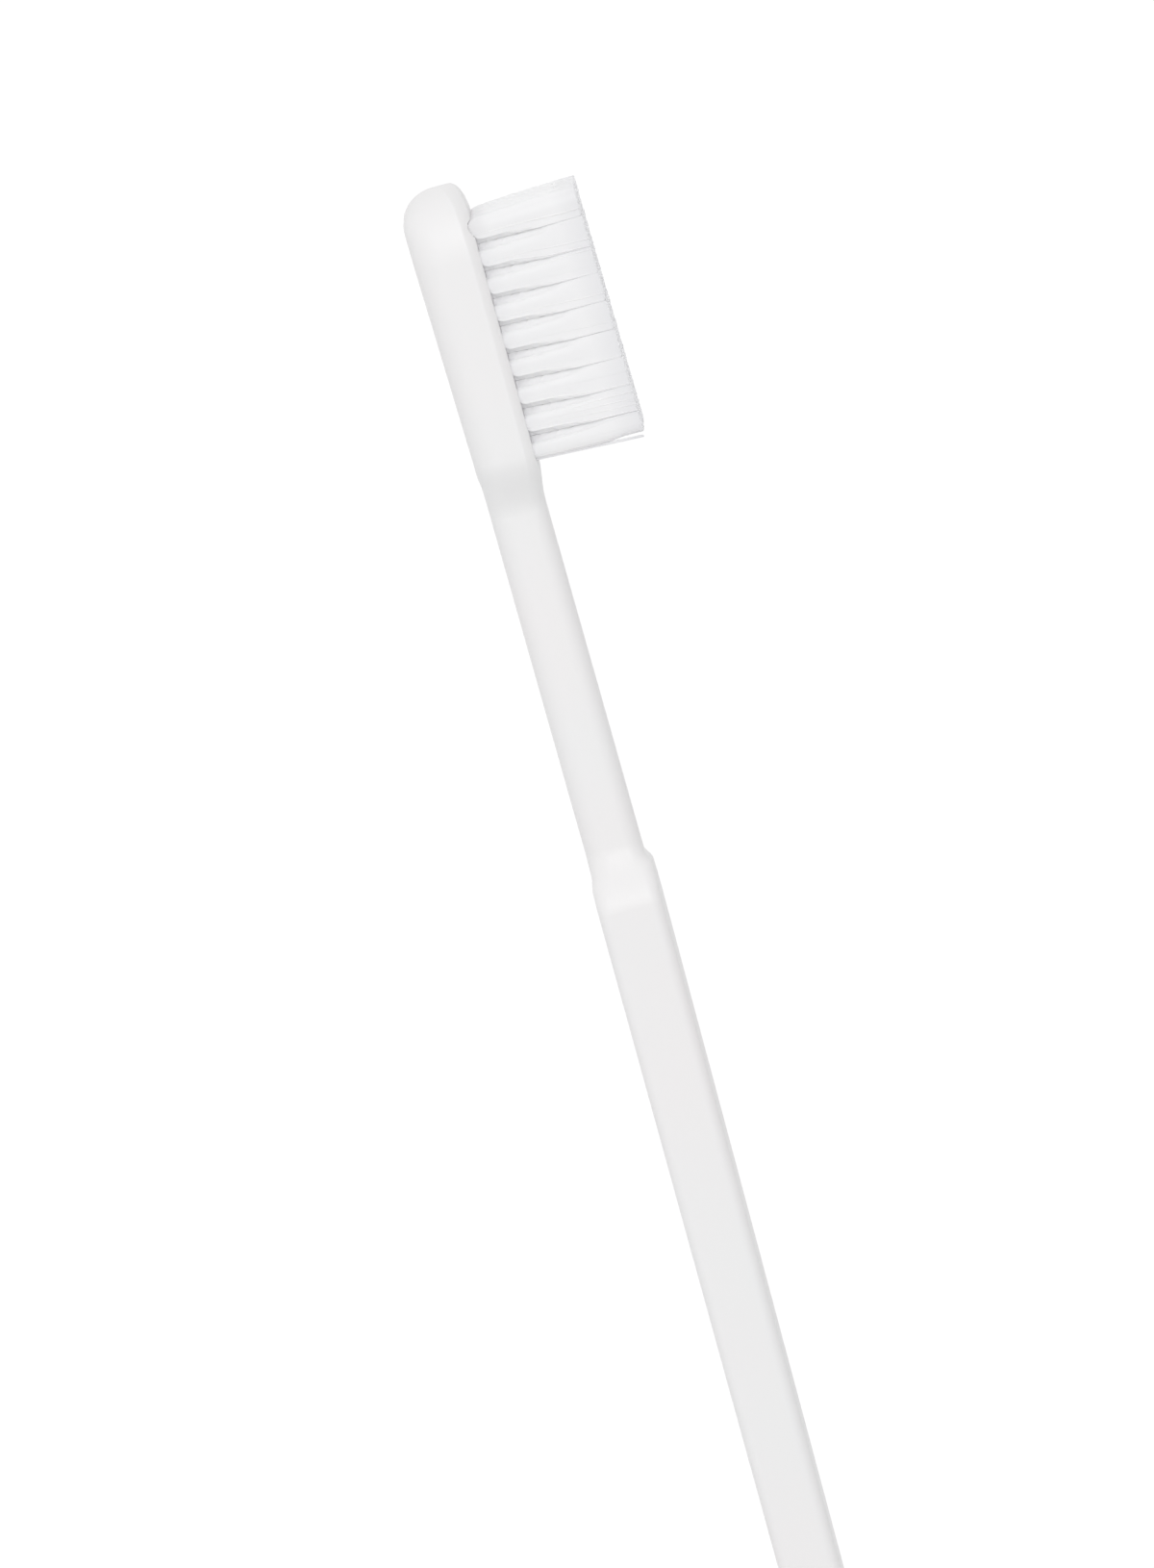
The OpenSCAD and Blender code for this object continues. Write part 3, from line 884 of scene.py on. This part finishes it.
def tuft_mesh(settings, shape, chance, stray):
    """One tuft: filaments that go down into the hole, fold under the plate and come up again."""
    sizes = settings.body
    bristles = settings.bristles
    x, y, face, reach, radius, root = shape.x, shape.y, shape.face, shape.reach, shape.radius, shape.root
    turn = bristles.plate_turn if y <= 0 else -bristles.plate_turn
    floor = face - sizes.hole_depth
    plate_bottom = floor + PLATE_SEAT
    plate_top = plate_bottom + bristles.plate_height
    clear = bristles.plate_thickness / 2 + radius
    axis = np.array((math.cos(turn), math.sin(turn)))
    across = np.array((-math.sin(turn), math.cos(turn)))
    verts, faces, tones = [], [], []
    total = bristles.folded_filaments

    def free(u, v):
        """The free part of a filament, from its tip down to the face."""
        drop = abs(chance.gauss(0, 1)) * bristles.trim_scatter * TRIM_SHARE
        if chance.random() < SHORT_CHANCE:
            drop += chance.uniform(*SHORT_DROPS) * MM
        sway = [chance.gauss(0, 1) * bristles.tip_scatter for _ in range(2)]
        heights = [1 - (drop + depth * MM) / reach for depth, _ in DOME] + list(reversed(FREE_SHARES))
        points = []
        for height in heights:
            px, py, pz = shape.spot(u, v, height)
            points.append((px + sway[0] * height, py + sway[1] * height, pz))
        return points, [share for _, share in DOME] + [1.0] * len(FREE_SHARES)

    def add_rings(rings, sides, tone):
        """Adds a closed form through rings of points."""
        base = len(verts)
        verts.extend(rings)
        count = len(rings) // sides
        for level in range(count - 1):
            for corner in range(sides):
                beside = (corner + 1) % sides
                here = base + level * sides
                faces.append((here + corner, here + beside, here + sides + beside, here + sides + corner))
        tones.extend([tone] * len(rings))
        return base, base + (count - 1) * sides

    for index in range(total):
        spot = math.sqrt((index + 0.5) / total)
        angle = -math.pi / 2 + math.pi * ((index * GOLDEN_SHARE) % 1.0)
        u = spot * math.cos(angle)
        v = spot * math.sin(angle)
        pair = []
        for hand in (1, -1):
            local = axis * (u * hand) + across * v
            points, shares = free(local[0], local[1])
            inside_u = hand * (clear + u * (root - clear))
            room = math.sqrt(max(0.0, root ** 2 - inside_u ** 2))
            inside_v = v * room / max(math.sqrt(max(0.0, 1 - u * u)), LEAST)
            inside_v = limited(inside_v, -root, root)
            inside = (x, y) + (axis * inside_u + across * inside_v)
            down = [(*inside, plate_top), (*inside, plate_bottom)]
            pair.append((points + down, shares + [1.0, 1.0], abs(inside_u), inside_v))
        (first, first_shares, half, side), (second, second_shares, _, _) = pair
        depth = min(half, plate_bottom - floor - radius)
        fold = []
        for share in FOLD_SHARES:
            bend = math.pi * share
            at = axis * (half * math.cos(bend)) + across * side
            fold.append((x + at[0], y + at[1], plate_bottom - depth * math.sin(bend)))
        path = first + fold + second[::-1]
        rings = filament(path, radius, first_shares + [1.0] * len(fold) + second_shares[::-1])
        add_rings(rings, FILAMENT_SIDES, chance.random())

    def core_ring(height, share):
        """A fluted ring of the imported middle."""
        ring = []
        for corner, (along, aside) in enumerate(circle(CORE_POINTS)):
            out = share * (1 - (CORE_FLUTE if corner % 2 else 0))
            ring.append(shape.spot(out * along, out * aside, height, CORE_EDGE, CORE_INSET))
        return ring

    rings = []
    for height in CORE_SHARES:
        rings += core_ring(height, 1.0 if height > 0 else CORE_FOOT_WIDTH)
    for depth, share in CORE_END:
        rings += core_ring(1 - depth * MM / reach, share)
    start, end = add_rings(rings, CORE_POINTS, CORE_TONE)
    faces.append(tuple(start + corner for corner in reversed(range(CORE_POINTS))))
    faces.append(tuple(end + corner for corner in range(CORE_POINTS)))

    if stray:
        points = []
        for height in STRAY_SHARES:
            away = between(root, STRAY_TIP, height)
            points.append((x + away, y + STRAY_SIDE, face + reach * height))
        widths = STRAY_END + [1.0] * (len(points) - len(STRAY_END))
        rings = filament(points[::-1], radius * STRAY_THICKNESS, widths)
        add_rings(rings, FILAMENT_SIDES, 0.0)
    return verts, faces, tones


TUFT_SHARP_ANGLE = math.radians(80)
MERGE_DISTANCE = 1e-7


class TOOTHBRUSH_OT_bristles(bpy.types.Operator):
    """Add the tufts of folded nylon filaments."""

    bl_idname = "toothbrush.bristles"
    bl_label = "Add Bristles"
    bl_options = {"REGISTER", "UNDO"}

    def execute(self, context):
        settings = context.scene.toothbrush
        chance = random.Random(settings.bristles.seed)
        nylon = nylon_material(settings.finish)
        lines = [tip_lines(settings, chance, column == 0) for column in range(len(COLUMNS))]
        for place in tuft_places(settings):
            row, column = place[:2]
            letter = COLUMNS[column]
            shape = TuftShape(settings, place, lines[column])
            stray = row == ROWS - 1 and column == 0
            verts, faces, tones = tuft_mesh(settings, shape, chance, stray)
            mesh = bpy.data.meshes.new(f"bristles_{row + 1}{letter}")
            mesh.from_pydata(verts, [], faces)
            tone = mesh.attributes.new("filament_tone", "FLOAT", "POINT")
            tone.data.foreach_set("value", tones)
            work = bmesh.new()
            work.from_mesh(mesh)
            bmesh.ops.remove_doubles(work, verts=work.verts, dist=MERGE_DISTANCE)
            bmesh.ops.recalc_face_normals(work, faces=work.faces)
            work.to_mesh(mesh)
            work.free()
            mesh.polygons.foreach_set("use_smooth", [True] * len(mesh.polygons))
            mesh.set_sharp_from_angle(angle=TUFT_SHARP_ANGLE)
            mesh.materials.append(nylon)
            tuft = new_object(mesh.name, mesh)
            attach(tuft, "root")
            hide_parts(f"tuft_{row + 1}{letter}")
        return {"FINISHED"}


class TOOTHBRUSH_OT_plates(bpy.types.Operator):
    """Give the anchor plates their brass."""

    bl_idname = "toothbrush.plates"
    bl_label = "Finish Anchor Plates"
    bl_options = {"REGISTER", "UNDO"}

    def execute(self, context):
        brass = brass_material(context.scene.toothbrush.finish)
        for row in range(ROWS):
            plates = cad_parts[f"anchor_plates_row_{row + 1}"]
            plates.data.materials.clear()
            plates.data.materials.append(brass)
        return {"FINISHED"}


# Half the floor's width
FLOOR_REACH = 6.0
MOST_BOUNCES = 32
# Direction of the main lamp, seen from the brush
KEY_WAY = (-0.56, -0.83, 0.0)
# Nearest and farthest distance that the camera shows, as shares of its own distance
CLIP_SHARES = (0.01, 100)


class TOOTHBRUSH_OT_stage(bpy.types.Operator):
    """Set the floor, the light and the camera."""

    bl_idname = "toothbrush.stage"
    bl_label = "Set Stage"
    bl_options = {"REGISTER", "UNDO"}

    def execute(self, context):
        settings = context.scene.toothbrush
        self.floor()
        self.sky(context, settings.studio)
        self.key(settings.studio)
        self.camera(context, settings)
        context.scene.view_settings.view_transform = "Standard"
        context.scene.cycles.max_bounces = MOST_BOUNCES
        context.scene.cycles.diffuse_bounces = MOST_BOUNCES
        return {"FINISHED"}

    def floor(self):
        level = CAD_BOX[0].z
        corners = [(-1, -1), (1, -1), (1, 1), (-1, 1)]
        mesh = bpy.data.meshes.new("floor")
        mesh.from_pydata([(x * FLOOR_REACH, y * FLOOR_REACH, level) for x, y in corners], [], [(0, 1, 2, 3)])
        mesh.materials.append(floor_material())
        new_object("floor", mesh)

    def sky(self, context, studio):
        world = bpy.data.worlds.new("studio_sky")
        context.scene.world = world
        recipe = Recipe(world, "ShaderNodeOutputWorld")
        way = recipe.add("ShaderNodeTexCoord").outputs["Generated"]
        height = recipe.add("ShaderNodeSeparateXYZ", {"Vector": way}).outputs["Z"]
        overhead = studio.sky_level * (1 - studio.sky_fall)
        strength = recipe.spread(height, studio.sky_level, overhead, 0, 1)
        light = recipe.add("ShaderNodeBackground", {"Strength": strength, "Color": (1, 1, 1, 1)})
        white = recipe.add("ShaderNodeBackground", {"Strength": 1.0, "Color": (1, 1, 1, 1)})
        choose_seen(recipe, light.outputs["Background"], white.outputs["Background"])

    def key(self, studio):
        way = Vector(KEY_WAY).normalized()
        lamp = bpy.data.lights.new("key_lamp", "AREA")
        lamp.shape = "DISK"
        lamp.size = studio.key_size
        lamp.energy = studio.key_level * math.pi ** 2 * studio.key_distance ** 2
        made = new_object("key_lamp", lamp)
        made.location = way * studio.key_distance
        made.rotation_euler = (-way).to_track_quat("-Z", "Y").to_euler()

    def camera(self, context, settings):
        studio = settings.studio
        shape = BodyShape(settings.body)
        turn, rise, tilt = studio.camera_azimuth, studio.camera_elevation, studio.brush_tilt
        along = Vector((math.cos(turn), math.sin(turn), 0))
        ahead = Vector((-math.sin(turn) * math.cos(rise), math.cos(turn) * math.cos(rise), -math.sin(rise)))
        upward = along.cross(ahead)
        right = along * math.sin(tilt) + upward * math.cos(tilt)
        top = -along * math.cos(tilt) + upward * math.sin(tilt)
        target = Vector((studio.view_place - shape.origin_place, 0, studio.view_height))
        target += along * studio.view_along + upward * studio.view_up
        camera = bpy.data.cameras.new("camera")
        camera.sensor_width = studio.sensor / MM
        shown_height = IMAGE_HEIGHT / studio.pixels_per_mm * MM
        camera.lens = camera.sensor_width * studio.camera_distance / shown_height
        camera.clip_start = studio.camera_distance * CLIP_SHARES[0]
        camera.clip_end = studio.camera_distance * CLIP_SHARES[1]
        made = new_object("camera", camera)
        turned = Matrix((right, top, -ahead)).transposed().to_4x4()
        made.matrix_world = Matrix.Translation(target - ahead * studio.camera_distance) @ turned
        context.scene.camera = made


class TOOTHBRUSH_PT_panel(bpy.types.Panel):
    """Lists the toothbrush's operators."""

    bl_label = "Toothbrush"
    bl_idname = "TOOTHBRUSH_PT_panel"
    bl_space_type = "VIEW_3D"
    bl_region_type = "UI"
    bl_category = "Toothbrush"

    def draw(self, context):
        for kind in OPERATORS:
            self.layout.operator(kind.bl_idname)


OPERATORS = (TOOTHBRUSH_OT_body, TOOTHBRUSH_OT_bristles, TOOTHBRUSH_OT_plates, TOOTHBRUSH_OT_stage)
GROUPS = (ToothbrushBodySizes, ToothbrushBristleSizes, ToothbrushFinish, ToothbrushStudio)
CLASSES = (*GROUPS, ToothbrushSettings, *OPERATORS, TOOTHBRUSH_PT_panel)


def register():
    for kind in CLASSES:
        bpy.utils.register_class(kind)
    bpy.types.Scene.toothbrush = bpy.props.PointerProperty(type=ToothbrushSettings)


def unregister():
    del bpy.types.Scene.toothbrush
    for kind in reversed(CLASSES):
        bpy.utils.unregister_class(kind)


def main():
    register()
    bpy.ops.toothbrush.stage()
    bpy.ops.toothbrush.body()
    bpy.ops.toothbrush.bristles()
    bpy.ops.toothbrush.plates()


if __name__ == "__main__":
    main()
